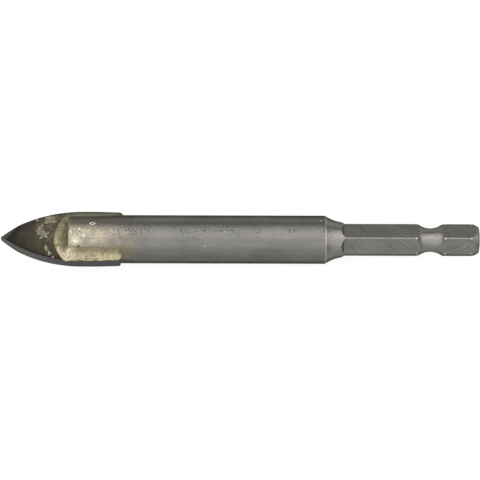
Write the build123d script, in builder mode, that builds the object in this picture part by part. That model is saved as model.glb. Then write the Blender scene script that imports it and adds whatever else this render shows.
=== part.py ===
"""Tile drill bit: a spear-shaped carbide tip brazed into a slotted steel shank.

Millimetres. The bit lies along X on the plane z = 0, its point toward -X and its driven end
toward +X, resting on its round body. The carbide tip leans at the roll that it lies at.
"""

import os
from math import asin, cos, pi, radians, sin, sqrt, tan

from build123d import *

# Lengths along the bit, from the point
tip_projection = 14.4
body_length = 53.6
hex_end_length = 32.0

# Round body, neck and the turned blank of the hexagon
body_diameter = 10.1
front_edge_break = 0.25
shoulder_edge_width = 0.25
shoulder_edge_drop = 0.125
neck_radius = 8.0
blank_diameter = 7.2

# Hexagonal drive: flats measured from the driven end to the top of their run-out
across_flats = 6.35
flat_count = 6
flat_length = 28.4
run_out_radius = 4.7
run_out_slope = 40.0

# Ball groove, placed from the driven end
groove_position = 10.2
groove_diameter = 4.9
groove_radius = 4.0

# Driven end
end_chamfer_length = 1.6
end_chamfer_angle = 30.0
end_edge_radius = 0.5

# Carbide tip
tip_width = 12.7
tip_thickness = 2.3
tip_length = 25.2
spear_radius = 26.0
margin_length = 3.5
back_taper = 2.0
tail_corner_radius = 0.5
relief_angle = 2.5
chisel_edge = 1.2
facet_tilt = 20.5
facet_trace = 55.0

# Braze in the slot, and its pool on each face in front of the body
braze_gap = 0.1
pool_reach = 3.3
pool_radius = 8.4
pool_climb = 3.1
pool_hollow = 0.35
pool_edge_gap = 0.5
edge_gap = 0.12
rim_width = 1.3
rim_bulge = 0.3
rim_back_height = 0.15

# Braze beads in the corners beside the body, a heavy one along each leading edge: how far each
# starts ahead of the body's end, reaches out on the tip, climbs up the body and bulges
heavy_bead_lead = 0.9
heavy_bead_reach = 1.3
heavy_bead_climb = 1.8
heavy_bead_bulge = 0.25
light_bead_lead = -0.1
light_bead_reach = 0.9
light_bead_climb = 0.6
light_bead_bulge = 0.1
bead_tail_gap = 0.2

# Both beads thin out at their ends and swell a little along their length
bead_sections = 5
bead_end_share = 0.35
bead_end_power = 6
bead_ripple = 0.06
bead_ripple_count = 2.5
bead_root_share = 0.7

# Roll of the tip about the bit's axis, from lying flat
lie_angle = 35.8

# Sizes that follow
overall_length = tip_projection + body_length + hex_end_length
body_radius = body_diameter / 2
blank_radius = blank_diameter / 2
tip_half = tip_thickness / 2
slot_half = tip_half + braze_gap
shoulder_x = tip_projection + body_length
flank_shift = tip_thickness * tan(radians(relief_angle))

# Frame of the bit: X along its axis from the point, Y across the tip's face, Z out of that face
bit = Plane(
    origin=(-overall_length / 2, 0, body_radius),
    x_dir=(1, 0, 0),
    z_dir=(0, sin(radians(lie_angle)), cos(radians(lie_angle))),
)
bit_axis = Axis(bit.origin, bit.x_dir)


# Shank: turned body and neck, milled hexagon, ball groove and tip slot
neck_drop = body_radius - blank_radius
neck_length = sqrt(neck_radius**2 - (neck_radius - neck_drop) ** 2)
neck_start = (shoulder_x, body_radius - shoulder_edge_drop)
neck_end = (shoulder_x + neck_length, blank_radius)
end_face_radius = blank_radius - end_chamfer_length * tan(radians(end_chamfer_angle))
end_corner = (overall_length, end_face_radius)

with BuildPart() as shank:
    with BuildSketch(bit) as turned_profile:
        with BuildLine():
            Polyline(
                (tip_projection, 0),
                (tip_projection, body_radius - front_edge_break),
                (tip_projection + front_edge_break, body_radius),
                (shoulder_x - shoulder_edge_width, body_radius),
                neck_start,
            )
            RadiusArc(neck_start, neck_end, -neck_radius)
            Polyline(
                neck_end,
                (overall_length - end_chamfer_length, blank_radius),
                end_corner,
                (overall_length, 0),
                (tip_projection, 0),
            )
        make_face()
        fillet(turned_profile.vertices().sort_by_distance(end_corner)[0], end_edge_radius)
    revolve(axis=bit_axis)

    # Each flat ends toward the neck in the sloping arc that the mill leaves
    for turn in range(flat_count):
        flat = bit.rotated((turn * 360 / flat_count, 0, 0)).offset(across_flats / 2)
        run_out_x = overall_length - flat_length + run_out_radius
        with BuildSketch(flat):
            with Locations((run_out_x, 0)):
                Circle(run_out_radius)
                Rectangle(flat_length, 2 * run_out_radius, align=(Align.MIN, Align.CENTER))
        extrude(amount=body_radius - across_flats / 2, taper=-run_out_slope, mode=Mode.SUBTRACT)

    with BuildSketch(bit):
        with Locations((overall_length - groove_position, groove_diameter / 2 + groove_radius)):
            Circle(groove_radius)
    revolve(axis=bit_axis, mode=Mode.SUBTRACT)

    # The slot stops a braze gap behind the tip's tail
    slot_depth = tip_length + braze_gap - tip_projection
    with BuildSketch(bit):
        with Locations((tip_projection, 0)):
            Rectangle(2 * slot_depth, 2 * body_diameter)
    extrude(amount=slot_half, both=True, mode=Mode.SUBTRACT)

shank.part.label = "shank"


# Carbide tip: spear outline swept on a slant, so each cutting edge gets relief behind it
outline_half = (tip_width - flank_shift) / 2
spear_length = sqrt(spear_radius**2 - (spear_radius - outline_half) ** 2)
taper_start = spear_length + margin_length
tail_half = outline_half - (tip_length - taper_start) * tan(radians(back_taper))

with BuildPart() as carbide_tip:
    with BuildSketch(bit) as spear:
        with BuildLine() as half_outline:
            RadiusArc((0, 0), (spear_length, outline_half), spear_radius)
            Polyline(
                (spear_length, outline_half),
                (taper_start, outline_half),
                (tip_length, tail_half),
                (tip_length, 0),
            )
            mirror(about=Plane.XZ)
        make_face()
        fillet(spear.vertices().sort_by(Axis.X)[-2:], tail_corner_radius)
    slant = bit.z_dir * tip_thickness - bit.y_dir * flank_shift
    extrude(amount=slant.length / 2, dir=slant, both=True)

    # Two more facets, one on each face, shorten the edge across the point
    for half_turn in (0, 180):
        side = bit.rotated((half_turn, 0, 0))
        lean = sin(radians(facet_tilt))
        facet_normal = (
            -lean * sin(radians(facet_trace)),
            lean * cos(radians(facet_trace)),
            cos(radians(facet_tilt)),
        )
        facet = Plane(
            origin=side.from_local_coords((0, 0, chisel_edge / 2)),
            z_dir=side.from_local_coords(facet_normal) - side.origin,
        )
        split(bisect_by=facet, keep=Keep.BOTTOM)

carbide_tip.part.label = "carbide_tip"


# Braze: made oversize, then trimmed by the shank and the tip that it wets
def corner_bead(frame, lead, reach, climb, bulge):
    """Sections of a bead from the tip's face up the body, on the frame's +X side."""
    corner_angle = asin(tip_half / body_radius)
    start = tip_projection - lead
    bead_length = tip_length - bead_tail_gap - start
    sections = []
    for step in range(bead_sections):
        share = step / (bead_sections - 1)
        ends = (1 - bead_end_share) * abs(2 * share - 1) ** bead_end_power
        fullness = 1 - ends + bead_ripple * sin(2 * pi * bead_ripple_count * share)
        top_angle = corner_angle + fullness * climb / body_radius
        foot = (body_radius * cos(corner_angle) + fullness * reach, tip_half)
        top = (body_radius * cos(top_angle), body_radius * sin(top_angle))
        station = bit.from_local_coords((start + share * bead_length, 0, 0))
        with BuildSketch(Plane(station, x_dir=frame.x_dir, z_dir=frame.z_dir)) as section:
            with BuildLine():
                SagittaArc(foot, top, -bulge * fullness)
                Polyline(
                    top,
                    (bead_root_share * top[0], bead_root_share * top[1]),
                    (bead_root_share * foot[0], 0),
                    (foot[0], 0),
                    foot,
                )
            make_face()
        sections.append(section.sketch)
    return sections


pool_centre = tip_projection - pool_reach + pool_radius
pool_section = Plane(origin=bit.origin, x_dir=bit.x_dir, z_dir=-bit.y_dir)
pool_axis = Axis(bit.from_local_coords((pool_centre, 0, 0)), bit.z_dir)

with BuildPart() as braze:
    # The pool's profile: a rounded rim on the tip, then a hollow that climbs the body's end
    with BuildSketch(pool_section):
        with BuildLine():
            rim_foot = (tip_projection - pool_reach, tip_half)
            rim_back = (rim_foot[0] + rim_width, tip_half + rim_back_height)
            wall_top = (tip_projection, tip_half + pool_climb)
            SagittaArc(rim_foot, rim_back, rim_bulge)
            SagittaArc(rim_back, wall_top, -pool_hollow)
            Polyline(wall_top, (pool_centre, wall_top[1]), (pool_centre, 0), (rim_foot[0], 0), rim_foot)
            mirror(about=Plane.XZ)
        make_face()
    revolve(axis=pool_axis)
    with BuildSketch(bit):
        with Locations((tip_projection + braze_gap, 0)):
            Rectangle(
                pool_reach + braze_gap,
                2 * (outline_half - pool_edge_gap),
                align=(Align.MAX, Align.CENTER),
            )
    extrude(amount=body_radius, both=True, mode=Mode.INTERSECT)

    # A heavy bead beside the leading edge of each face and a light one beside the other
    for half_turn in (0, 180):
        side = bit.rotated((half_turn, 0, 0))
        leading = Plane(origin=side.origin, x_dir=-side.y_dir, z_dir=-side.x_dir)
        trailing = Plane(origin=side.origin, x_dir=side.y_dir, z_dir=side.x_dir)
        loft(corner_bead(leading, heavy_bead_lead, heavy_bead_reach, heavy_bead_climb, heavy_bead_bulge))
        loft(corner_bead(trailing, light_bead_lead, light_bead_reach, light_bead_climb, light_bead_bulge))

    # Braze wets the tip's faces but stops short of its edges
    with BuildSketch(bit):
        add(spear.sketch_local)
        offset(amount=-edge_gap)
    extrude(amount=body_radius, both=True, mode=Mode.INTERSECT)

    # Film that fills the slot
    with BuildSketch(bit):
        with Locations((tip_projection, 0)):
            Rectangle(
                slot_depth,
                2 * sqrt(body_radius**2 - slot_half**2),
                align=(Align.MIN, Align.CENTER),
            )
    extrude(amount=slot_half, both=True)

    add(shank.part, mode=Mode.SUBTRACT)
    add(carbide_tip.part, mode=Mode.SUBTRACT)

braze.part.label = "braze"


os.makedirs("parts", exist_ok=True)
for piece in (shank.part, carbide_tip.part, braze.part):
    export_step(piece, f"parts/{piece.label}.step")
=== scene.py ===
"""Tile drill bit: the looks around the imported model.

Metres, in the model's own frame: the bit lies along X with its point toward -X, on the plane z = 0.
"""

import logging
import math
from dataclasses import dataclass
from enum import Enum
from functools import reduce

import bpy
import numpy as np
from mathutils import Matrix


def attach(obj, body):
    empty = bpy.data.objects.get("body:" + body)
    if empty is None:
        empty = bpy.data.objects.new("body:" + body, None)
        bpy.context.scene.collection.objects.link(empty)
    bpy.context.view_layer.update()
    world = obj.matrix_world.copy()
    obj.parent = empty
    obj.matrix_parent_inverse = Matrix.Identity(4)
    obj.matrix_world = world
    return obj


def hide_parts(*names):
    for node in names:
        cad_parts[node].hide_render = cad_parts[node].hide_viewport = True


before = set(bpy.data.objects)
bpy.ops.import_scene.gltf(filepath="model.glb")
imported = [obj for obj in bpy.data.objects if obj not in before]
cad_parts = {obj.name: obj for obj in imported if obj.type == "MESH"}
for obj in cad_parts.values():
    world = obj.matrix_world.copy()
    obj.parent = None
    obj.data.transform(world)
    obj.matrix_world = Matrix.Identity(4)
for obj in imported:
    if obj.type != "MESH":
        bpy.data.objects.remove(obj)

log = logging.getLogger("tile_bit")

MM = 0.001

# The noise's count of random values, a shift that keeps its cells positive, and primes that mix
# the cells' numbers
NOISE_VALUES = 4096
NOISE_SHIFT = 1000.0
NOISE_PRIMES = np.array([73856093, 19349663, 83492791])

# What an input of a node takes: a node, one of a node's outputs or a value
Source = bpy.types.Node | bpy.types.NodeSocket | float | tuple[float, ...]


class Facing(Enum):
    """The two faces of the tip, which are half a turn apart about the bit's axis."""

    UPPER = 1
    LOWER = -1


@dataclass(frozen=True)
class BitFrame:
    """Distances that place things on the bit, in mm.

    Along is measured from the point, across over the tip's face and out of that face. The body
    begins at its end toward the point, and the tip's face stands off the axis by its own distance.
    """

    length: float = 100.0
    body_end: float = 14.4
    body_radius: float = 5.05
    face: float = 1.15
    lie_angle: float = 35.8

    def place(self, along: np.ndarray, across: np.ndarray, out: np.ndarray) -> np.ndarray:
        """Turns bit distances into points of the model's frame.

        The across and out directions are Y and Z turned about X by the lie angle, and the origin
        is the point of the bit, one body radius above the floor.

        Args:
            along: Distances from the point, in mm.
            across: Distances across the tip's face, in mm.
            out: Distances out of the tip's upper face from the axis, in mm.

        Returns:
            Points in metres, with x, y and z in the last axis.
        """
        turn = math.radians(self.lie_angle)
        along, across, out = np.broadcast_arrays(along, across, out)
        y = across * math.cos(turn) + out * math.sin(turn)
        z = -across * math.sin(turn) + out * math.cos(turn) + self.body_radius
        return np.stack([along - self.length / 2, y, z], axis=-1) * MM


BIT = BitFrame()


def linear(hex_colour: str) -> tuple[float, float, float, float]:
    """Turns an sRGB hex colour into the linear colour that a shader socket takes.

    Args:
        hex_colour: Six hex digits, with or without a hash sign.

    Returns:
        Red, green, blue and an alpha of 1.
    """
    digits = hex_colour.lstrip("#")
    channels = []
    for i in (0, 2, 4):
        value = int(digits[i : i + 2], 16) / 255
        channels.append(value / 12.92 if value <= 0.04045 else ((value + 0.055) / 1.055) ** 2.4)
    return (*channels, 1.0)


def lumps(points: np.ndarray, size: float, seed: int) -> np.ndarray:
    """Smooth seeded noise from -1 to 1, for whole arrays of points.

    Each corner of a cubic lattice has a random value, and a point takes the mix of its eight
    corners by the smooth step 3t^2 - 2t^3 in each direction.

    Args:
        points: Points in any unit, with three numbers in the last axis.
        size: Spacing of the lattice in the same unit.
        seed: Picks the random values.

    Returns:
        One value for each point.
    """
    table = np.random.default_rng(seed).uniform(-1, 1, NOISE_VALUES)
    scaled = points / size + NOISE_SHIFT
    cell = np.floor(scaled).astype(np.int64)
    t = scaled - cell
    t = t * t * (3 - 2 * t)
    total = np.zeros(points.shape[:-1])
    for corner in np.ndindex(2, 2, 2):
        index = (cell + corner) @ NOISE_PRIMES
        share = np.prod(np.where(np.array(corner) == 1, t, 1 - t), axis=-1)
        total += share * table[index % table.size]
    return total


def shell(name: str, rings: np.ndarray, hoop: bool = False) -> bpy.types.Object:
    """Makes a closed smooth piece from a stack of closed rings.

    Args:
        name: The piece's name.
        rings: Points in metres, indexed by ring and by place in the ring.
        hoop: Whether the last ring joins the first; otherwise a fan closes each end.

    Returns:
        The new object, which rides on the model.
    """
    count, around = rings.shape[:2]
    points = rings.reshape(-1, 3)
    place = np.arange(around)
    after = np.roll(place, -1)
    ring = np.arange(count if hoop else count - 1)[:, None] * around
    following = (ring + around) % len(points)
    quads = [ring + place, ring + after, following + after, following + place]
    faces = np.stack(quads, axis=-1).reshape(-1, 4).tolist()
    if not hoop:
        first, last = len(points), len(points) - around
        points = np.concatenate([points, rings[[0, -1]].mean(axis=1)])
        faces += np.stack([np.full(around, first), after, place], axis=-1).tolist()
        fan = [np.full(around, first + 1), last + place, last + after]
        faces += np.stack(fan, axis=-1).tolist()
    mesh = bpy.data.meshes.new(name)
    mesh.from_pydata(points.tolist(), [], faces)
    mesh.polygons.foreach_set("use_smooth", [True] * len(mesh.polygons))
    piece = bpy.data.objects.new(name, mesh)
    bpy.context.scene.collection.objects.link(piece)
    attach(piece, "root")
    return piece


def dress(pieces: list[bpy.types.Object], finish: bpy.types.Material) -> None:
    """Gives pieces one finish."""
    for piece in pieces:
        piece.data.materials.append(finish)


def curve_through(knots: np.ndarray, count: int) -> np.ndarray:
    """Points on a smooth curve that passes through knots.

    The curve is a Catmull-Rom spline: between two knots it is the cubic whose slope at each knot
    is half the step between that knot's neighbours.

    Args:
        knots: The knots, one row each.
        count: How many points to return, evenly spaced over the knots' numbers.

    Returns:
        The points, one row each.
    """
    padded = np.concatenate([2 * knots[:1] - knots[1:2], knots, 2 * knots[-1:] - knots[-2:-1]])
    place = np.linspace(0, len(knots) - 1, count)
    start = np.minimum(place.astype(int), len(knots) - 2)
    t = (place - start)[:, None]
    a, b, c, d = (padded[start + i] for i in range(4))
    return b + t / 2 * (c - a + t * (2 * a - 5 * b + 4 * c - d + t * (3 * (b - c) + d - a)))


class Graph:
    """One material and its node tree."""

    def __init__(self, name: str) -> None:
        """Starts an empty material.

        Args:
            name: The material's name.
        """
        self.material = bpy.data.materials.new(name)
        self.material.use_nodes = True
        self.tree = self.material.node_tree
        self.tree.nodes.clear()

    def add(
        self, kind: str, *values: Source, at: dict[str, Source] | None = None, **settings: object
    ) -> bpy.types.Node:
        """Adds a node with its settings and links.

        Args:
            kind: The node's type name without ShaderNode, and its operation behind a space.
            values: What the node's shown inputs take, in order. A node stands for its first shown
                output.
            at: What the inputs of these names take.
            settings: Other properties of the node.

        Returns:
            The new node.
        """
        kind, _, operation = kind.partition(" ")
        node = self.tree.nodes.new("ShaderNode" + kind)
        if operation:
            node.operation = operation
        for name, value in settings.items():
            setattr(node, name, value)
        shown = [socket for socket in node.inputs if socket.enabled]
        named = [(node.inputs[name], value) for name, value in (at or {}).items()]
        for socket, value in [*zip(shown, values), *named]:
            if isinstance(value, bpy.types.Node):
                value = next(output for output in value.outputs if output.enabled)
            if isinstance(value, bpy.types.NodeSocket):
                self.tree.links.new(value, socket)
            else:
                socket.default_value = value
        return node

    def fold(self, operation: str, *values: Source) -> Source:
        """Joins any number of values, one after the other, by a math operation."""
        return reduce(lambda total, value: self.add(f"Math {operation}", total, value), values)

    def overlap(self, *masks: Source) -> Source:
        """Multiplies masks, so that the result shows only where they all do.

        Args:
            masks: Nodes or numbers, or tuples of a value and the ranges that MapRange takes.

        Returns:
            Their product.
        """
        ready = [self.add("MapRange", *mask) if isinstance(mask, tuple) else mask for mask in masks]
        return self.fold("MULTIPLY", *ready)

    def weighted(self, *terms: tuple[Source, float]) -> Source:
        """Adds up values, each times its weight."""
        return reduce(lambda total, term: self.add("Math MULTIPLY_ADD", *term, total), terms, 0.0)

    def coated(self, under: Source, *coats: tuple) -> Source:
        """Lays coats over a colour, one on the other.

        Args:
            under: The colour underneath.
            coats: For each coat its mask, its colour and its strength where that isn't 1. Masks are
                as for an overlap; a colour is a hex colour or comes from a node.

        Returns:
            The colour with its coats.
        """
        for mask, colour, *strength in coats:
            amount = self.overlap(mask, *strength)
            over = linear(colour) if isinstance(colour, str) else colour
            under = self.add("Mix", amount, under, over, data_type="RGBA")
        return under

    def varied(self, colour: Source, *factors: Source, amount: Source = 1.0) -> bpy.types.Node:
        """Dims and brightens a colour.

        Args:
            colour: The colour.
            factors: What it is multiplied by, as for an overlap.
            amount: How much of this shows.

        Returns:
            The varied colour.
        """
        factor = self.overlap(*factors)
        return self.add("Mix", amount, colour, factor, data_type="RGBA", blend_type="MULTIPLY")


@dataclass(frozen=True)
class Lamp:
    """One soft lamp on an arc about the bit: degrees from overhead toward +Y, and metres."""

    name: str
    angle: float
    width: float
    radiance: float
    length: float = 3.2


@dataclass
class Studio:
    """Pale floor, soft lamps and the camera above the bit, in metres where not said otherwise."""

    floor_size: float = 3.0
    world_strength: float = 0.1
    camera_height: float = 0.52
    camera_reach: tuple[float, float] = (0.01, 10.0)
    pixels_per_mm: float = 4.777
    image_pixels: float = 480.0
    sensor_width_mm: float = 36.0
    centre_mm: tuple[float, float] = (0.03, -0.1)
    roll_degrees: float = 0.165
    lamp_distance: float = 0.7
    lamps: tuple[Lamp, ...] = (
        Lamp("key", 25.0, 0.54, 2.38),
        Lamp("overhead", -21.0, 0.56, 1.62),
        Lamp("side", -65.0, 0.5, 1.02, 1.8),
        Lamp("wall", 57.0, 0.28, 1.36),
    )

    def build(self) -> None:
        """Makes the floor, the world, the lamps and the camera."""
        self.floor()
        self.world()
        for lamp in self.lamps:
            self.hang(lamp)
        self.camera()

    def floor(self) -> None:
        """Lays a flat square that looks white and keeps the bit's shadow."""
        half = self.floor_size / 2
        corners = [(-half, -half, 0), (half, -half, 0), (half, half, 0), (-half, half, 0)]
        mesh = bpy.data.meshes.new("floor")
        mesh.from_pydata(corners, [], [(0, 1, 2, 3)])
        floor = bpy.data.objects.new("floor", mesh)
        bpy.context.scene.collection.objects.link(floor)
        floor.data.materials.append(Paper().build())

    def world(self) -> None:
        """Surrounds the scene with a weak even light."""
        world = bpy.data.worlds.new("studio")
        bpy.context.scene.world = world
        world.use_nodes = True
        background = world.node_tree.nodes["Background"]
        background.inputs["Color"].default_value = linear("#FFFFFF")
        background.inputs["Strength"].default_value = self.world_strength

    def hang(self, lamp: Lamp) -> None:
        """Hangs a lamp so that it faces the bit, as bright as its radiance says at any size.

        Args:
            lamp: Its name, place, size and radiance.
        """
        data = bpy.data.lights.new(lamp.name, "AREA")
        data.shape = "RECTANGLE"
        data.size = lamp.length
        data.size_y = lamp.width
        data.energy = math.pi * lamp.length * lamp.width * lamp.radiance
        light = bpy.data.objects.new(lamp.name, data)
        turn = math.radians(lamp.angle)
        away = self.lamp_distance
        light.location = (0.0, away * math.sin(turn), away * math.cos(turn))
        light.rotation_euler = (-turn, 0.0, 0.0)
        bpy.context.scene.collection.objects.link(light)

    def camera(self) -> None:
        """Puts the camera straight above the bit, turned by the small roll of the photograph."""
        data = bpy.data.cameras.new("camera")
        data.sensor_width = self.sensor_width_mm
        frame_width = self.image_pixels / self.pixels_per_mm * MM
        data.lens = self.sensor_width_mm * self.camera_height / frame_width
        data.clip_start, data.clip_end = self.camera_reach
        camera = bpy.data.objects.new("camera", data)
        x, y = self.centre_mm
        camera.location = (x * MM, y * MM, self.camera_height + BIT.body_radius * MM)
        camera.rotation_euler = (0.0, 0.0, math.radians(self.roll_degrees))
        bpy.context.scene.collection.objects.link(camera)
        bpy.context.scene.camera = camera


@dataclass(frozen=True)
class Paper:
    """Matt pale paper under the bit, which the lamps bring up to white."""

    colour: str = "#848484"
    glow: float = 0.78
    mirrored_glow: float = 0.64

    def build(self) -> bpy.types.Material:
        """Makes the material.

        Returns:
            The new material.
        """
        g = Graph("matt pale paper")
        ray = g.add("LightPath").outputs
        seen = g.add("Math MAXIMUM", ray["Is Camera Ray"], ray["Is Transmission Ray"])
        # With the light that it gets, the paper is as white in the metal as a strength of 1
        mirrored = g.overlap(ray["Is Glossy Ray"], self.mirrored_glow)
        strength = g.add("Math MAXIMUM", g.overlap(seen, self.glow), mirrored)
        matt = g.add("BsdfDiffuse", linear(self.colour))
        white = g.add("Emission", linear("#FFFFFF"), strength)
        g.add("OutputMaterial", g.add("AddShader", matt, white))
        return g.material


class BitGraph(Graph):
    """A material that knows where it is on the bit, in mm.

    Along, across and out are the bit's distances, radius and angle go about its axis. Side and
    turned are the same as across and angle, but count from the nearer face of the tip, so that
    both faces look alike; side grows toward the trailing edge.
    """

    def __init__(self, name: str) -> None:
        """Starts the material and works out the bit distances from object coordinates.

        Args:
            name: The material's name.
        """
        super().__init__(name)
        lie = math.radians(BIT.lie_angle)
        sunk = BIT.body_radius * math.sin(lie), -BIT.body_radius * math.cos(lie)
        coordinates = self.add("TexCoord").outputs["Object"]
        self.place = self.add(
            "Mapping", coordinates, (BIT.length / 2, *sunk), (lie, 0.0, 0.0), (1 / MM,) * 3
        )
        self.along, self.across, self.out = self.add("SeparateXYZ", self.place).outputs
        self.radius = self.diagonal(self.across, self.out)
        self.angle = self.add("Math ARCTAN2", self.out, self.across)
        self.side = self.overlap(self.add("Math SIGN", self.out), self.across)
        self.turned = self.add("Math ARCTAN2", self.add("Math ABSOLUTE", self.out), self.side)

    def sector(self, none: float, full: float, most: float = 1.0) -> bpy.types.Node:
        """A mask that grows from 0 at one angle about the axis to its most at another."""
        return self.add("MapRange", self.turned, math.radians(none), math.radians(full), 0.0, most)

    def close(self, value: Source, place: float, inner: float, outer: float) -> bpy.types.Node:
        """A mask that is 1 within an inner distance of a place and 0 beyond an outer one."""
        away = self.add("Math ABSOLUTE", self.add("Math SUBTRACT", value, place))
        return self.add("MapRange", away, inner, outer, 1.0, 0.0)

    def diagonal(self, ahead: Source, aside: Source) -> bpy.types.Node:
        """The length of two distances at right angles."""
        return self.add("VectorMath LENGTH", self.add("CombineXYZ", ahead, aside, 0.0))

    def distance(self, along: float, side: float) -> bpy.types.Node:
        """How far it is over the tip's face from a place on it."""
        ahead = self.add("Math SUBTRACT", self.along, along)
        return self.diagonal(ahead, self.add("Math SUBTRACT", self.side, side))

    def blob(
        self, along: float, degrees: float, half_along: float, half_degrees: float, ragged: Source
    ) -> bpy.types.Node:
        """A ragged patch about a place on the body, 1 in its middle and 0 outside.

        Args:
            along: Its place along the bit.
            degrees: Its place about the axis.
            half_along: Half its length.
            half_degrees: Half its angle.
            ragged: Noise about 0.5 that moves its shore.

        Returns:
            The node of its mask.
        """
        ahead = self.add("Math DIVIDE", self.add("Math SUBTRACT", self.along, along), half_along)
        aside = self.add("Math SUBTRACT", self.turned, math.radians(degrees))
        aside = self.add("Math DIVIDE", aside, math.radians(half_degrees))
        shore = self.add("MapRange", ragged, 0.25, 0.75, 0.7, -0.7)
        reach = self.add("Math ADD", self.diagonal(ahead, aside), shore)
        return self.add("MapRange", reach, 0.2, 1.15, 1.0, 0.0)

    def shade(
        self, colour: Source, roughness: Source, height: Source, metallic: Source,
        tint: str = "#FFFFFF",
    ) -> bpy.types.Material:
        """Ends the material with a principled shader.

        Args:
            colour: Its colour.
            roughness: Its roughness.
            height: Surface height in mm for the bump.
            metallic: How metallic it is, from 0 to 1.
            tint: Edge tint of a metal, as a hex colour.

        Returns:
            The finished material.
        """
        bump = self.add("Bump", at={"Strength": 1.0, "Distance": MM, "Height": height})
        inputs = {
            "Base Color": colour,
            "Roughness": roughness,
            "Metallic": metallic,
            "Specular Tint": linear(tint),
            "Normal": bump,
        }
        self.add("OutputMaterial", self.add("BsdfPrincipled", at=inputs))
        return self.material


@dataclass(frozen=True)
class TurnedSteel:
    """Hardened steel, turned on a lathe, milled to a hexagon and lightly blasted.

    It is dark grey and satin, with fine rings on the turned parts, cutter arcs on the flats, small
    pits, bright edges that are partly wear and partly painted highlights, painted glints at the
    hexagon's corners, painted shade where the flats run out, and cream and bronze stains where
    brazing flux ran over it; pale paint also stands for highlights at the front edge and by the
    light bead.
    """

    light: str = "#72706B"
    dark: str = "#666560"
    pit: str = "#32312D"
    # Wear on the edges, partly painted highlights
    wear_and_highlight: str = "#97948A"
    # Painted glints on the shoulder ring and the hexagon's corners
    ring: str = "#A5A39C"
    polished: str = "#7C7A75"
    # Painted shade in the corners where the flats run out
    painted_shade: str = "#383731"
    silver: str = "#918979"
    pink: str = "#897C73"
    cream: str = "#BBB095"
    crust: str = "#C6BDA2"
    bronze: str = "#6C6650"
    flux: str = "#4B483F"
    edge_tint: str = "#7A7A78"
    shoulder: float = 68.0
    hexagon: float = 71.6
    blank_radius: float = 3.6
    flat_height: float = 3.175
    groove: float = 89.8
    groove_half: float = 2.95
    chamfer: float = 98.25
    mill_centre: float = 91.0
    mill_swing: tuple[float, float] = (9.0, 13.0)
    stain_start: float = 18.4
    stain_end: float = 28.4
    pink_patch: tuple[float, ...] = (22.5, 120.0, 3.2, 28.0)
    fan_patch: tuple[float, ...] = (15.95, 130.0, 1.3, 14.0)
    fan_foot: tuple[float, ...] = (16.45, 142.5, 0.45, 3.5)
    tongue_patch: tuple[float, ...] = (25.2, 163.0, 2.4, 27.0)
    cream_patches: tuple[tuple[float, ...], ...] = (
        (20.9, 116.0, 1.1, 18.0),
        (19.8, 131.0, 1.0, 9.0),
        (17.7, 118.0, 0.7, 7.0),
    )

    def build(self) -> bpy.types.Material:
        """Makes the material.

        Returns:
            The new material.
        """
        g = BitGraph("satin turned steel")
        sixth = math.pi / 3
        lean = g.add("Math SUBTRACT", g.angle, math.pi / 2)
        lean = g.add("Math WRAP", lean, sixth / 2, -sixth / 2)
        level = g.overlap(g.radius, g.add("Math COSINE", lean))
        sideways = g.overlap(g.radius, g.add("Math SINE", lean))
        off_flat = g.add("Math ABSOLUTE", g.add("Math SUBTRACT", level, self.flat_height))
        on_hexagon = g.add("MapRange", g.along, self.hexagon - 0.2, self.hexagon)
        flat = g.overlap((off_flat, 0.006, 0.012, 1.0, 0.0), on_hexagon)
        round_part = g.add("Math SUBTRACT", 1.0, flat)

        # Arcs that a face mill leaves, about 0.4 mm apart, swung about a point off each flat
        number = g.add("Math ROUND", g.add("Math DIVIDE", g.angle, sixth))
        chance = g.add("TexWhiteNoise", number, noise_dimensions="1D").outputs["Value"]
        swing = g.add("MapRange", chance, 0.0, 1.0, *self.mill_swing)
        ahead = g.add("Math SUBTRACT", g.along, self.mill_centre)
        sweep = g.diagonal(ahead, g.add("Math ADD", sideways, swing))
        cutter = g.add("TexNoise", sweep, 3.1, 3.0, 0.6, noise_dimensions="1D")
        patchy = g.add("TexNoise", g.place, 0.22, 1.0)
        arcs = g.overlap(g.add("Math SUBTRACT", cutter, 0.5), flat, (patchy, 0.42, 0.62))

        # Lathe rings 0.15 mm apart, coarser than real feed marks so that they show
        rings = g.add("TexNoise", g.along, 6.0, 2.0, 0.8, noise_dimensions="1D")
        rings = g.overlap(g.add("Math SUBTRACT", rings, 0.5), round_part)
        cloud = g.add("VectorMath MULTIPLY", g.place, (0.14, 0.3, 0.3))
        cloud = g.add("TexNoise", cloud, 1.0, 4.0, 0.6)
        grain = g.add("TexNoise", g.place, 7.0, 3.0, 0.75)

        # Pits and bright specks 0.1 to 0.3 mm wide, in loose drifts, thickest by the braze
        fleck = g.add("TexNoise", g.place, 3.8, 2.0, 0.6)
        drift = g.add("TexNoise", g.place, 3.0, 0.3, 2.0, noise_dimensions="4D")
        drift = g.add("MapRange", drift, 0.4, 0.75, 0.0, 0.08)
        thick = g.add("TexNoise", g.along, 0.16, 2.0, noise_dimensions="1D")
        thick = g.add("MapRange", thick, 0.38, 0.6, 0.08, 0.18)
        thick = g.add("Math MAXIMUM", thick, g.add("MapRange", g.along, 22.0, 28.0, 0.12, 0.0))
        band = g.overlap(g.sector(74.0, 88.0), g.sector(132.0, 108.0), thick)
        drift = g.overlap(g.add("Math MAXIMUM", drift, band), round_part)
        pits = g.add("Math SUBTRACT", g.add("Math ADD", drift, 0.27), fleck)
        pits = g.add("MapRange", pits, 0.0, 0.05)
        specks = g.add("Math SUBTRACT", fleck, g.add("Math SUBTRACT", 0.71, drift))

        # The neck, the groove and the chamfer came off a finer tool than the body
        plain = self.hexagon + 2.0
        blank = g.close(g.radius, self.blank_radius, 0.004, 0.012)
        blank = g.overlap(blank, (g.along, plain, plain + 0.2, 0.0, 0.85))
        fine = g.overlap((g.along, self.shoulder, self.shoulder + 0.1), round_part)
        fine = g.add("Math SUBTRACT", fine, blank, use_clamp=True)
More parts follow.
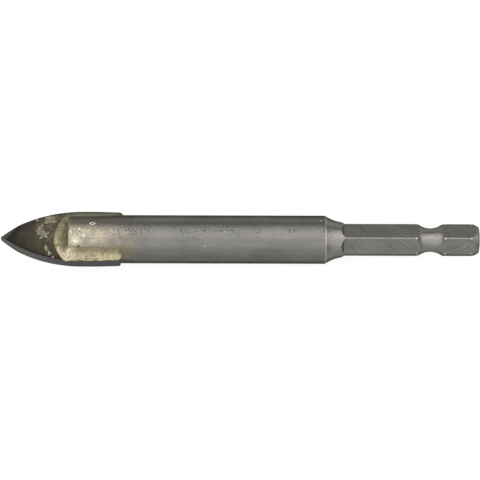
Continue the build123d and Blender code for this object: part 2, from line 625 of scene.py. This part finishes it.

        # Edges painted bright, partly as wear and partly as painted highlights: the body's two
        # ends, the hexagon's corners and the rims of the flats
        front = g.add("MapRange", g.along, BIT.body_end + 0.22, BIT.body_end + 0.34, 1.0, 0.0)
        shoulder = g.close(g.along, self.shoulder - 0.12, 0.06, 0.14)
        corner = g.add("MapRange", g.radius, self.blank_radius - 0.03, self.blank_radius - 0.01)
        inside = g.add("Math SUBTRACT", 1.0, corner)
        corner = g.overlap(corner, on_hexagon, 0.1)
        dashes = g.add("TexNoise", g.along, 1.3, 3.0, noise_dimensions="1D")
        rim = g.overlap(
            (off_flat, 0.03, 0.12, 1.0, 0.0),
            g.add("Math SUBTRACT", on_hexagon, flat),
            (dashes, 0.5, 0.66, 0.08, 0.6),
            (g.along, self.hexagon + 3.0, self.hexagon + 3.5),
        )
        wear_and_highlight = g.fold("MAXIMUM", front, shoulder, corner, rim)
        # Painted highlights: the shoulder ring and glints where the corners meet groove and chamfer
        ends = (self.groove - self.groove_half, self.groove + self.groove_half, self.chamfer)
        at_end = g.fold("MAXIMUM", *(g.close(g.along, end, 0.08, 0.28) for end in ends))
        near_corner = g.radius, self.blank_radius - 0.09, self.blank_radius - 0.03
        painted_glints = g.add("Math MAXIMUM", shoulder, g.overlap(near_corner, at_end, on_hexagon))
        # Painted shade in the corner where each flat runs out
        leaving = g.along, self.hexagon + 1.6, self.hexagon + 1.8, 1.0, 0.0
        run_out_shade = g.overlap((off_flat, 0.01, 0.04), inside, leaving, on_hexagon)

        # Where flux ran over the body it is pale and silvery, with cream and pinkish patches
        stain = g.add("VectorMath MULTIPLY", g.place, (0.9, 0.5, 0.5))
        stain = g.add("TexNoise", stain, 1.0, 6.0, 0.65, at={"Distortion": 0.4})
        near = g.add("Math ADD", g.along, g.add("MapRange", stain, 0.3, 0.7, 2.5, -2.5))
        near = g.add("MapRange", near, self.stain_start, self.stain_end, 1.0, 0.0)
        leading = g.sector(72.0, 94.0)
        silver = g.overlap(near, leading)
        sparkle = g.add("TexNoise", g.place, 3.4, 3.0, 0.75)
        # A pale fan of flux by the front, which has a dark pit at its foot
        fan = g.overlap(g.blob(*self.fan_patch, 0.5), (sparkle, 0.36, 0.56, 0.3, 0.9))
        streaks = g.add("VectorMath MULTIPLY", g.place, (1.7, 0.3, 0.3))
        streaks = g.add("TexNoise", streaks, 1.0, 3.0, 0.6)
        broken = g.overlap((sparkle, 0.36, 0.58, 0.35, 1.0), (streaks, 0.38, 0.58, 0.25, 1.0))
        cream = g.fold("MAXIMUM", *(g.blob(*patch, stain) for patch in self.cream_patches))
        cream = g.overlap(cream, broken)
        # Front edge painted pale on its leading side: flux crust and a painted highlight
        front_flux_and_highlight = g.overlap(front, leading, broken)
        # A band on the body beside the light bead, painted bronze: dried flux, and a painted
        # highlight over the dark crease there
        dried_flux_and_highlight = g.overlap(g.sector(63.0, 51.0, 0.62), near)
        # A ragged bronze tongue on the body past the heavy bead's end
        tongue = g.blob(*self.tongue_patch, cloud)

        light = g.add("MapRange", cloud, 0.36, 0.64)
        steel = g.coated(linear(self.dark), (light, self.light), (fine, self.polished))
        centred = g.add("Math SUBTRACT", grain, 0.5)
        shade = g.weighted((1.0, 1.0), (arcs, 1.7), (rings, 0.22), (centred, 0.35))
        steel = g.coated(
            g.varied(steel, shade),
            # Painted shade in the run-outs; wear and painted highlights on edges; painted glints
            (run_out_shade, self.painted_shade, 0.7),
            (wear_and_highlight, self.wear_and_highlight, (grain, 0.3, 0.6, 0.5, 1.0)),
            (painted_glints, self.ring),
            (g.overlap(g.sector(85.0, 55.0), (near, 0.0, 0.3)), self.flux, 0.75),
            (silver, self.silver, (stain, 0.3, 0.7, 0.55, 1.0)),
        )
        steel = g.coated(
            g.varied(steel, (sparkle, 0.3, 0.7, 0.55, 1.45), amount=silver),
            (g.blob(*self.pink_patch, stain), self.pink, 0.5),
            (g.sector(134.0, 146.0, 0.5), self.bronze, near),
            (fan, self.crust),
            (g.blob(*self.fan_foot, 0.5), self.pit),
            (cream, self.cream, 0.75),
            (pits, self.pit, 0.7),
            ((specks, 0.0, 0.05), g.coated(linear(self.polished), (silver, self.crust)), 0.6),
            # Pale paint at the front edge and beside the light bead: flux and painted highlights
            (front_flux_and_highlight, self.crust, 0.9),
            (dried_flux_and_highlight, self.bronze),
            (tongue, self.bronze, 0.95),
        )
        # Flux crust is matt, and so is the pale paint for highlights at the front edge and bead
        crusted = g.overlap(g.add("Math MAXIMUM", cream, fan), 0.6)
        flux = g.fold("MAXIMUM", crusted, front_flux_and_highlight, g.overlap(tongue, 0.4), dried_flux_and_highlight)
        metal = g.add("Math SUBTRACT", 1.0, flux)
        rough = g.add("Mix", fine, g.add("MapRange", grain, 0.3, 0.7, 0.33, 0.42), 0.34)
        height = g.weighted(
            (arcs, 0.012), (rings, 0.0025), (grain, 0.006), (pits, -0.03), (cream, 0.03)
        )
        return g.shade(steel, rough, height, metal, self.edge_tint)


@dataclass(frozen=True)
class SinteredCarbide:
    """Tungsten carbide, sintered near black on its faces and ground grey on its flanks.

    The faces brown toward the braze and carry thin flux smears; the flanks show grinding lines that
    run along the edges.
    """

    face: str = "#23211E"
    brown: str = "#524C3E"
    smear: str = "#8A8164"
    flank: str = "#52524F"
    flank_tail: str = "#454543"
    facet: str = "#424240"
    olive: str = "#4D4B36"
    scorch: str = "#281F19"
    edge: str = "#161512"
    edge_tint: str = "#A0A0A0"
    metallic: float = 0.5
    spear_radius: float = 26.0
    spear_length: float = 17.0
    half_width: float = 6.3

    def build(self) -> bpy.types.Material:
        """Makes the material.

        Returns:
            The new material.
        """
        g = BitGraph("sintered and ground carbide")
        lie = math.radians(BIT.lie_angle)
        normal = g.add("TexCoord").outputs["Normal"]
        normal = g.add("Mapping", normal, (0.0,) * 3, (lie, 0.0, 0.0))
        facing = g.add("Math ABSOLUTE", g.add("SeparateXYZ", normal).outputs["Z"])
        ground = g.add("MapRange", facing, 0.55, 0.75, 1.0, 0.0)
        bevelled = g.add("MapRange", facing, 0.965, 0.985, 1.0, 0.0)
        bevelled = g.add("Math SUBTRACT", bevelled, ground)
        cloud = g.add("TexNoise", g.place, 0.42, 5.0, 0.6)
        grain = g.add("TexNoise", g.place, 5.0, 4.0, 0.7)
        # Grinding lines half a millimetre apart, coarser than real ones so that they show
        lines = g.add("VectorMath MULTIPLY", g.place, (0.1, 0.1, 2.0))
        lines = g.add("TexNoise", lines, 1.0, 2.0, 0.7)
        flank = g.coated(linear(self.flank), ((g.along, 6.0, 14.0), self.flank_tail))
        fading = g.add("MapRange", g.along, 6.0, 13.0, 1.0, 0.2)
        flank = g.varied(flank, (lines, 0.32, 0.68, 0.4, 1.75), amount=fading)

        # The face is brown and smeared toward the braze, and duller on its leading side
        mottled = g.add("MapRange", cloud, 0.3, 0.7, -0.25, 0.25)
        warm = g.add("Math ADD", g.add("MapRange", g.along, 2.5, 11.0), mottled, use_clamp=True)
        smear = g.add("TexNoise", g.place, 0.8, 6.0, 0.6, at={"Distortion": 0.8})
        smear = g.overlap((smear, 0.5, 0.68), (g.along, 6.0, 10.0))
        colour = g.coated(linear(self.face), (warm, self.brown), (smear, self.smear, 0.45))
        colour = g.varied(colour, (g.side, 0.0, -3.5, 1.0, 0.62))

        # The face darkens in a thin line along its edges, which lie on arcs about one centre each
        aside = g.add("Math ABSOLUTE", g.side)
        aside = g.add("Math ADD", aside, self.spear_radius - self.half_width)
        ahead = g.add("Math MINIMUM", g.add("Math SUBTRACT", g.along, self.spear_length), 0.0)
        inset = g.add("Math SUBTRACT", self.spear_radius, g.diagonal(aside, ahead))
        colour = g.coated(
            colour,
            ((inset, 0.5, 0.12, 0.0, 0.95), self.edge, (g.along, 12.6, 14.0, 1.0, 0.0)),
            ((g.side, 4.3, 5.0), self.olive, (g.along, 12.0, 14.0)),
            ((g.side, -5.1, -5.7, 0.0, 0.85), self.scorch, (g.along, 10.2, 11.2)),
            (bevelled, self.facet),
            (ground, flank),
        )
        colour = g.varied(colour, (grain, 0.25, 0.75, 0.82, 1.18))
        rough = g.add("MapRange", grain, 0.3, 0.7, 0.38, 0.5)
        height = g.weighted((grain, 0.012), (g.overlap(lines, ground), 0.01))
        return g.shade(colour, rough, height, self.metallic, self.edge_tint)


@dataclass(frozen=True)
class BrazeMetal:
    """Silver braze that froze with a rough skin under burnt flux.

    It is cream and tan at random and speckled all over, olive with painted shade in the pool's
    hollow and along the heavy bead's crease, and has a painted highlight where the rim meets the
    heavy bead.
    """

    cream: str = "#A89D7D"
    tan: str = "#7D7558"
    olive: str = "#564F37"
    # Painted highlight where the pool's rim meets the heavy bead
    pale: str = "#CCC0A4"
    edge: str = "#9A9366"
    thin: str = "#5F5C42"
    metallic: float = 0.25
    rim_inner: float = 6.75
    rim_outer: float = 7.15
    centre: tuple[float, float] = (19.5, -0.45)
    painted_joint_highlight: tuple[float, float] = (13.7, -5.0)

    def build(self) -> bpy.types.Material:
        """Makes the material.

        Returns:
            The new material.
        """
        g = BitGraph("silver braze with burnt flux")
        cloud = g.add("TexNoise", g.place, 0.9, 4.0, 0.6)
        grain = g.add("TexNoise", g.place, 2.9, 3.0, 0.7)
        colour = g.coated(linear(self.tan), ((cloud, 0.36, 0.56), self.cream))
        colour = g.varied(colour, (grain, 0.33, 0.67, 0.6, 1.4))

        # The pool's hollow, between its rim and the body's end, is dark olive: flux, and painted
        # shade
        in_front = g.add("MapRange", g.along, BIT.body_end, BIT.body_end + 0.2, 1.0, 0.0)
        uneven = g.add("MapRange", cloud, 0.3, 0.7, -0.25, 0.25)
        reach = g.add("Math ADD", g.distance(*self.centre), uneven)
        hollow = g.overlap((reach, self.rim_inner, self.rim_outer, 1.0, 0.0), in_front)
        streak = g.add("TexNoise", g.place, 1.6, 3.0)
        dots = g.add("TexVoronoi", g.place, 2.2).outputs["Distance"]
        # The pool is painted darker olive toward the trailing side, and the heavy bead gets painted
        # shade along its crease with the body
        darker_to_trailing = g.overlap((g.side, -3.0, 4.4, 0.0, 0.8), in_front)
        crease_shade = g.overlap(g.sector(163.0, 152.0, 0.8), g.add("Math SUBTRACT", 1.0, in_front))
        foot = g.overlap(g.sector(166.0, 173.0), (cloud, 0.35, 0.6, 0.2, 0.8))
        # Where the pool's rim turns into the heavy bead a pale highlight is painted on the braze
        painted_joint_highlight = g.distance(*self.painted_joint_highlight)
        painted_joint_highlight = g.overlap((painted_joint_highlight, 0.6, 2.9, 1.0, 0.0), (grain, 0.4, 0.6, 0.1, 0.9))
        colour = g.coated(
            colour,
            (hollow, self.olive, (streak, 0.35, 0.7, 1.0, 0.55)),
            ((dots, 0.2, 0.34, 0.6, 0.0), self.olive),
            # Painted shade along the heavy bead's crease, and darker olive toward the trailing side
            (g.add("Math MAXIMUM", darker_to_trailing, crease_shade), self.olive),
            (foot, self.edge, (g.along, 13.5, 15.0)),
            # Painted highlight at the joint of rim and bead
            (painted_joint_highlight, self.pale),
            # Thin braze beside the trailing edge lies under dark flux
            ((g.side, 3.6, 4.6), self.thin, (g.along, 13.6, 14.6)),
        )
        rough = g.add("MapRange", grain, 0.3, 0.7, 0.42, 0.62)
        height = g.weighted((cloud, 0.08), (grain, 0.06))
        return g.shade(colour, rough, height, self.metallic)


@dataclass
class Braze:
    """Filler metal between the tip and the body: a film, and on each face a pool and two beads.

    Sizes in mm; the pool's and the film's spreads and the pool's end run in degrees. A bead has its
    start from the point, its reach out on the face, its climb up the body and its bulge. A grid
    counts the rings of a piece's visible surface and the points of each.
    """

    seat: float = 0.12
    tail: float = 25.1
    pool_centre: float = 19.5
    pool_across: float = -0.45
    pool_radius: float = 8.35
    pool_wander: float = 0.12
    wander_radius: float = 8.0
    wander_size: float = 1.3
    pool_spread: tuple[float, float] = (-41.0, 48.0)
    pool_profile: tuple[tuple[float, float], ...] = (
        (3.6, -0.1), (0.06, -0.1), (0.0, 0.0), (0.1, 0.16), (0.38, 0.32), (0.78, 0.34),
        (1.15, 0.24), (1.5, 0.16), (1.9, 0.26), (2.35, 0.6), (2.75, 1.15), (3.05, 1.9),
        (3.25, 2.9), (3.6, 3.05),
    )
    rim_height: float = 0.34
    rim_breadth: float = 1.3
    rim_sink: float = 0.03
    rim_inset: float = 0.05
    body_inset: float = 0.12
    end_run: float = 7.0
    end_height: float = 0.15
    calm_height: float = 0.2
    heavy: tuple[float, float, float, float] = (12.75, 1.41, 1.8, 0.34)
    light: tuple[float, float, float, float] = (13.8, 0.85, 0.6, 0.08)
    heavy_tail: float = 25.5
    lead_in: float = 1.9
    run_off: float = 1.3
    bead_ripple: float = 0.09
    bead_ripples: float = 9.0
    bead_least: float = 0.02
    root_depth: float = 0.25
    root_step: float = 1.3
    root_run: float = 0.3
    foot_inset: float = 0.1
    fillet_overlap: float = 0.05
    fillet_length: float = 0.9
    fillet_height: float = 0.95
    fillet_root: float = 0.4
    fillet_foot: float = 0.1
    fillet_middle: float = 0.6
    fillet_half: float = 0.5
    film_gap: float = 0.1
    film_inset: float = 0.01
    film_tail: float = 0.2
    film_spread: float = 13.5
    lump_size: float = 0.9
    lump_height: float = 0.08
    fine_share: float = 0.4
    pool_grid: tuple[int, int] = (180, 96)
    bead_grid: tuple[int, int] = (170, 40)
    fillet_grid: tuple[int, int] = (16, 28)

    def build(self) -> list[bpy.types.Object]:
        """Makes every part of the braze and dresses it.

        Returns:
            The new pieces.
        """
        pieces = []
        for facing in Facing:
            pieces += [self.pool(facing), self.heavy_bead(facing), self.light_bead(facing)]
        pieces += [self.tail_fillet(Facing.UPPER), self.film()]
        dress(pieces, BrazeMetal().build())
        for piece in pieces:
            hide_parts("braze")
        return pieces

    def roughen(
        self, along: np.ndarray, across: np.ndarray, out: np.ndarray, seed: int
    ) -> np.ndarray:
        """Swells and sinks a surface by two sizes of smooth noise.

        Args:
            along: Distances from the point.
            across: Distances across the face.
            out: Distances out of the face.
            seed: Picks the noise.

        Returns:
            How far each point moves, in mm.
        """
        points = np.stack([along, across, out], axis=-1)
        coarse = lumps(points, self.lump_size, seed)
        fine = lumps(points, self.lump_size / 3, seed + 1)
        return self.lump_height * (coarse + self.fine_share * fine)

    def pool(self, facing: Facing) -> bpy.types.Object:
        """The pool in front of the body's end: a rounded rim, a hollow and a climb up the end.

        The profile runs inward from the pool's edge and is carried along an arc about the pool's
        centre, whose radius wanders a little; noise lifts the profile in step with its height.

        Args:
            facing: The tip's face that it lies on.

        Returns:
            The new piece.
        """
        count, around = self.pool_grid
        inward, height = curve_through(np.array(self.pool_profile), around).T
        height = np.maximum(height, -self.seat)
        turn = np.radians(np.linspace(*self.pool_spread, count))[:, None]
        seed = 11 * facing.value + 40
        arc = np.concatenate([np.cos(turn), np.sin(turn), turn * 0], axis=1) * self.wander_radius
        wander = self.pool_wander * lumps(arc, self.wander_size, seed)[:, None]
        radius = self.pool_radius + wander - inward
        along = self.pool_centre - radius * np.cos(turn)
        across = self.pool_across + radius * np.sin(turn)
        swell = self.roughen(along, across, height + turn * 0, seed + 5)
        from_end = np.degrees(np.minimum(turn - turn[0], turn[-1] - turn))
        ends = np.sin(np.clip(from_end / self.end_run, 0, 1) * np.pi / 2)
        ends = self.end_height + (1 - self.end_height) * ends
        height = np.where(height > 0, height * ends, height)
        out = BIT.face + height + swell * np.clip(height / self.calm_height, 0, 1)
        body_out = np.sqrt(np.maximum(BIT.body_radius**2 - across**2, 0)) - self.body_inset
        out = np.minimum(out, np.maximum(body_out, BIT.face + self.rim_height))
        along = np.minimum(along, BIT.body_end + self.seat)
        rings = BIT.place(along, facing.value * across, facing.value * out)
        return shell(f"braze_pool_{facing.name.lower()}", rings)

    def bead(
        self, facing: Facing, name: str, hand: int, start: float, reach: float, climb: float,
        bulge: float,
    ) -> bpy.types.Object:
        """A bead in the corner between the tip's face and the body.

        Its section is a crescent from its foot on the face to its top on the body, which bulges by
        a power of a sine over the line between them. It is carried along the body: it starts by a
        smooth step, or out of the pool's rim, and ends in a quarter of an ellipse.

        Args:
            facing: The tip's face that it lies on.
            name: The piece's name without the face.
            hand: 1 where it lies on the face's trailing side, -1 on the leading side.
            start: Where it starts, from the point.
            reach: How far it comes out on the face.
            climb: How far it climbs up the body.
            bulge: How far it bulges out.

        Returns:
            The new piece.
        """
        seed = 17 * facing.value + 3 * hand + 60
        count, around = self.bead_grid
        share = (1 - np.cos(np.linspace(0, np.pi, count))) / 2
        tail = self.heavy_tail if hand < 0 else self.tail
        along = (start + share * (tail - start))[:, None]
        front = np.clip((along[:, 0] - start) / self.lead_in, 0, 1)
        front = front * front * (3 - 2 * front)
        growth = front[:, None]
        front = front**0.6 if hand > 0 else front * 0 + 1
        back = np.clip((tail - along[:, 0]) / self.run_off, 0, 1)
        fullness = np.maximum(front * (1 - (1 - back) ** 2) ** 0.5, self.bead_least)[:, None]
        stations = np.stack([share * self.bead_ripples, share * 0, share * 0], axis=-1)
        fullness = fullness * (1 + self.bead_ripple * lumps(stations, 1.0, seed)[:, None])
        corner = math.asin(BIT.face / BIT.body_radius)
        top_angle = corner + fullness * climb / BIT.body_radius
        foot_across = BIT.body_radius * math.cos(corner) + fullness * reach
        blend = np.linspace(0, 1, around)[None, :]
        top_across = BIT.body_radius * np.cos(top_angle)
        top_out = BIT.body_radius * np.sin(top_angle)
        across = foot_across + (top_across - foot_across) * blend
        out = BIT.face + (top_out - BIT.face) * blend
        normal = np.stack([top_out - BIT.face, foot_across - top_across], 0)
        normal = normal / np.maximum(np.hypot(*normal), 1e-6)
        belly = bulge * fullness * np.sin(np.pi * blend) ** 0.7
        across = across + normal[0] * belly
        out = out + normal[1] * belly
        swell = self.roughen(along + across * 0, across, out, seed + 2)
        swell = swell * np.sin(np.pi * blend) ** 0.5 * fullness
        across = across + normal[0] * swell
        out = out + normal[1] * swell
        if hand < 0:
            # The front grows out of the pool's rim
            ahead = np.minimum(self.pool_centre - along, self.pool_radius)
            edge = -self.pool_across + np.sqrt(self.pool_radius**2 - ahead**2)
            rim = edge - self.rim_inset - self.rim_breadth * blend
            rim_out = self.rim_height * np.sin(np.pi * blend**0.7) ** 0.8 - self.rim_sink
            across = (1 - growth) * rim + growth * across
            out = (1 - growth) * (BIT.face + rim_out) + growth * out
            foot_across = (1 - growth) * edge + growth * foot_across
        # The root lies inside the body and the tip, and steps further in before the body's end
        before = np.clip((BIT.body_end - along) / self.root_run, 0, 1)
        inner = BIT.body_radius - self.root_depth - self.root_step * before
        foot = foot_across - self.foot_inset * fullness
        sunk = BIT.face - self.seat + fullness * 0
        root_across = inner * np.cos(top_angle), inner * math.cos(corner), foot
        across = np.concatenate([across, *root_across], axis=1) * hand
        out = np.concatenate([out, inner * np.sin(top_angle), sunk, sunk], axis=1)
        rings = BIT.place(along, facing.value * across, facing.value * out)
        # The floor is as low as the braze reaches
        rings[..., 2] = np.maximum(rings[..., 2], 0.0)
        if hand < 0:
            rings = rings[:, ::-1]
        return shell(f"{name}_{facing.name.lower()}", rings)

    def heavy_bead(self, facing: Facing) -> bpy.types.Object:
        """The heavy bead beside the leading edge."""
        return self.bead(facing, "braze_heavy_bead", -1, *self.heavy)

    def light_bead(self, facing: Facing) -> bpy.types.Object:
        """The light bead beside the trailing edge."""
        return self.bead(facing, "braze_light_bead", 1, *self.light)

    def tail_fillet(self, facing: Facing) -> bpy.types.Object:
        """A wedge in the corner between the tip's tail and the body, beside the trailing edge.

        Its outer side runs from the tip's corner down to the body by one less the square of the
        distance, and its section is a flattened oval.

        Args:
            facing: The tip's face that it lies beside.

        Returns:
            The new piece.
        """
        count, around = self.fillet_grid
        share = np.linspace(0, 1, count)[:, None]
        along = self.tail - self.fillet_overlap + share * self.fillet_length
        inner = BIT.body_radius - self.fillet_root
        outer = BIT.body_radius - self.fillet_foot + (1 - share**2) * self.fillet_height
        turn = np.linspace(0, 2 * np.pi, around, endpoint=False)[None, :]
        wide = np.sign(np.cos(turn)) * np.abs(np.cos(turn)) ** 0.5
        high = np.sign(np.sin(turn)) * np.abs(np.sin(turn)) ** 0.5
        across = (inner + outer) / 2 + (outer - inner) / 2 * wide
        out = self.fillet_middle + self.fillet_half * high + share * 0
        rings = BIT.place(along, facing.value * across, facing.value * out)
        return shell(f"braze_tail_{facing.name.lower()}", rings)

    def film(self) -> bpy.types.Object:
        """The film that fills the slot round the tip's tail: a slab with the body's round sides.

        Returns:
            The new piece.
        """
        half = BIT.face + self.film_gap
        side = math.sqrt(BIT.body_radius**2 - half**2) - self.film_inset
        ends = BIT.body_end + self.film_inset, self.tail + self.film_tail
        lean = np.radians(np.linspace(-self.film_spread, self.film_spread, 9))
        across = side * np.cos(lean) / np.cos(lean[0])
        across = np.concatenate([across, -across])
        out = np.concatenate([half * lean / lean[-1], -half * lean / lean[-1]])
        return shell("braze_film", BIT.place(np.array(ends)[:, None], across, out))


@dataclass(frozen=True)
class FluxCrust:
    """Flux baked to a thin matt crust: grey olive with a fine crackle, and browner where thin."""

    thin: str = "#4F483C"
    crust: str = "#5D583F"
    pale: str = "#857F68"
    name: str = "burnt flux crust"

    def build(self) -> bpy.types.Material:
        """Makes the material.

        Returns:
            The new material.
        """
        g = BitGraph(self.name)
        cloud = g.add("TexNoise", g.place, 2.2, 5.0, 0.7)
        broad = g.add("TexNoise", g.place, 1.1, 4.0, 0.6, at={"Distortion": 0.5})
        crackle = g.add("TexNoise", g.place, 4.6, 2.0, 0.6)
        colour = g.coated(linear(self.crust), ((cloud, 0.4, 0.62), self.pale))
        colour = g.varied(colour, (crackle, 0.34, 0.66, 0.62, 1.38))
        colour = g.coated(linear(self.thin), ((broad, 0.38, 0.54), colour))
        rough = g.add("MapRange", cloud, 0.3, 0.7, 0.4, 0.6)
        return g.shade(colour, rough, g.weighted((cloud, 0.06)), 0.0)


@dataclass(frozen=True)
class Patch:
    """One patch of crust: its place, half sizes and lobes, in mm and degrees.

    The place is along and across on a face of the tip, or along and an angle about the body.
    """

    along: float
    across: float
    half_along: float
    half_across: float
    lobes: int = 3
    lobe_depth: float = 0.2
    height: float = 0.06
    on_body: bool = False


@dataclass
class Flux:
    """Burnt flux that was left around the braze, in mm and degrees.

    A grid counts the rings of a piece's visible surface and the points of each.
    """

    seat: float = 0.03
    patches: tuple[Patch, ...] = (
        Patch(10.22, 4.12, 1.28, 1.02, 4, 0.1),
        Patch(8.35, 2.0, 0.55, 1.0, 3, 0.3),
        Patch(8.95, 0.35, 1.0, 1.0, 5, 0.42),
        Patch(7.9, 1.0, 0.5, 0.55, 3, 0.3),
        Patch(9.5, -2.75, 0.3, 0.6, 3, 0.3),
        Patch(9.85, -3.6, 0.28, 0.62, 4, 0.3),
        Patch(10.4, -4.4, 0.3, 0.6, 3, 0.35),
    )
    body_specks: tuple[Patch, ...] = (
        Patch(16.65, 101.0, 0.2, 0.2, 3, 0.1, 0.08, True),
        Patch(17.6, 117.0, 0.11, 0.13, 3, 0.1, 0.05, True),
        Patch(15.5, 129.5, 0.1, 0.3, 3, 0.1, 0.04, True),
        Patch(15.95, 131.0, 0.09, 0.34, 3, 0.1, 0.04, True),
        Patch(16.35, 129.0, 0.08, 0.26, 3, 0.1, 0.04, True),
        Patch(66.85, 75.0, 0.1, 0.1, 3, 0.1, 0.05, True),
        Patch(42.74, 141.0, 0.085, 0.085, 3, 0.1, 0.04, True),
    )
    face_specks: tuple[Patch, ...] = (
        Patch(7.45, 4.05, 0.24, 0.16, 3, 0.2, 0.04),
        Patch(9.75, -3.45, 0.1, 0.4, 3, 0.25, 0.04),
        Patch(10.25, -4.15, 0.12, 0.34, 3, 0.25, 0.04),
        Patch(11.15, -5.45, 0.2, 0.11, 3, 0.2, 0.04),
    )
    burnt: FluxCrust = FluxCrust()
    fresh: FluxCrust = FluxCrust("#CAC5B3", "#DCD7C5", "#F3EEDE", "white flux crust")
    ash: FluxCrust = FluxCrust("#8A867A", "#9E9A8E", "#AFAB9F", "grey flux ash")
    ring_along: float = 19.35
    ring_angle: float = 85.5
    ring_half: tuple[float, float] = (0.5, 0.27)
    ring_wire: float = 0.05
    shore_ripple: float = 0.22
    shore_lumps: float = 3.0
    crust_lumps: float = 0.35
    crust_swell: float = 0.5
    crust_middle: float = 0.02
    crust_grid: tuple[int, int] = (14, 64)
    ring_grid: tuple[int, int] = (48, 10)

    def build(self) -> list[bpy.types.Object]:
        """Makes the crusts, the specks and the bubble's rim and dresses them.

        Returns:
            The new pieces.
        """
        upper, lower = (self.crusts(facing, 0, self.patches) for facing in Facing)
        specks = [*self.crusts(Facing.UPPER, 20, self.body_specks), self.ring()]
        ashes = self.crusts(Facing.UPPER, 40, self.face_specks)
        dress(upper + lower, self.burnt.build())
        dress(specks, self.fresh.build())
        dress(ashes, self.ash.build())
        return upper + lower + specks + ashes

    def crusts(
        self, facing: Facing, first: int, patches: tuple[Patch, ...]
    ) -> list[bpy.types.Object]:
        """Makes a crust of each patch on a side, numbered from the first number."""
        return [self.crust(facing, number, patch) for number, patch in enumerate(patches, first)]

    def crust(self, facing: Facing, number: int, patch: Patch) -> bpy.types.Object:
        """One low island of crust with a ragged shore.

        The shore is an ellipse whose radius swings by a sine of its lobes and by noise. Rings
        shrink from it to the middle; the height is one less the fourth power of their size.

        Args:
            facing: The side of the bit.
            number: Its number, which picks the noise.
            patch: Its place and sizes.

        Returns:
            The new piece.
        """
        seed = 7 * number + 100 * facing.value + 300
        count, around = self.crust_grid
        turn = np.linspace(0, 2 * np.pi, around, endpoint=False)[None, :]
        circle = np.stack([np.cos(turn), np.sin(turn), turn * 0], axis=-1)
        shore = 1 + patch.lobe_depth * np.sin(patch.lobes * turn + seed)
        shore = shore + self.shore_ripple * lumps(circle * self.shore_lumps, 1.0, seed)
        shrink = np.linspace(1.0, self.crust_middle, count)
        size = np.concatenate([[self.crust_middle, 1.0], shrink])[:, None]
        rise = np.concatenate([[-self.seat] * 2, patch.height * (1 - shrink**4)])[:, None]
        along = patch.along + patch.half_along * size * shore * np.cos(turn)
        aside = patch.half_across * size * shore * np.sin(turn)
        swell = lumps(np.stack([along, aside, aside * 0], axis=-1), self.crust_lumps, seed + 1)
        rise = rise * (1 + self.crust_swell * swell * (rise > 0))
        across, out = patch.across + aside, BIT.face + rise
        if patch.on_body:
            angle = math.radians(patch.across) + aside / BIT.body_radius
            radius = BIT.body_radius + rise
            across, out = radius * np.cos(angle), radius * np.sin(angle)
        rings = BIT.place(along, facing.value * across, facing.value * out)
        if patch.on_body:
            # Angles about the body run the other way round
            rings = rings[:, ::-1]
        return shell(f"flux_crust_{facing.name.lower()}_{number}", rings)

    def ring(self) -> bpy.types.Object:
        """The rim of a burst flux bubble on the body: a thin flattened wire round an ellipse.

        Returns:
            The new piece.
        """
        count, around = self.ring_grid
        turn = np.linspace(0, 2 * np.pi, count, endpoint=False)[:, None]
        wire = np.linspace(0, 2 * np.pi, around, endpoint=False)[None, :]
        reach = 1 + self.ring_wire / self.ring_half[1] * np.cos(wire)
        along = self.ring_along + self.ring_half[0] * reach * np.cos(turn)
        aside = self.ring_half[1] * reach * np.sin(turn)
        angle = math.radians(self.ring_angle) + aside / BIT.body_radius
        radius = BIT.body_radius + self.ring_wire * np.sin(wire) + turn * 0
        rings = BIT.place(along, radius * np.cos(angle), radius * np.sin(angle))
        return shell("flux_bubble_rim", rings, hoop=True)


def main() -> None:
    """Builds the scene in order."""
    logging.basicConfig(level=logging.INFO, format="%(name)s: %(message)s")
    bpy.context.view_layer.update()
    bpy.context.scene.view_settings.view_transform = "Standard"
    Studio().build()
    for node, finish in (("shank", TurnedSteel()), ("carbide_tip", SinteredCarbide())):
        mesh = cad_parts[node].data
        mesh.materials.clear()
        mesh.materials.append(finish.build())
        log.info("dressed %s", node)
    for piece in Braze().build() + Flux().build():
        log.info("built %s with %d faces", piece.name, len(piece.data.polygons))


if __name__ == "__main__":
    main()
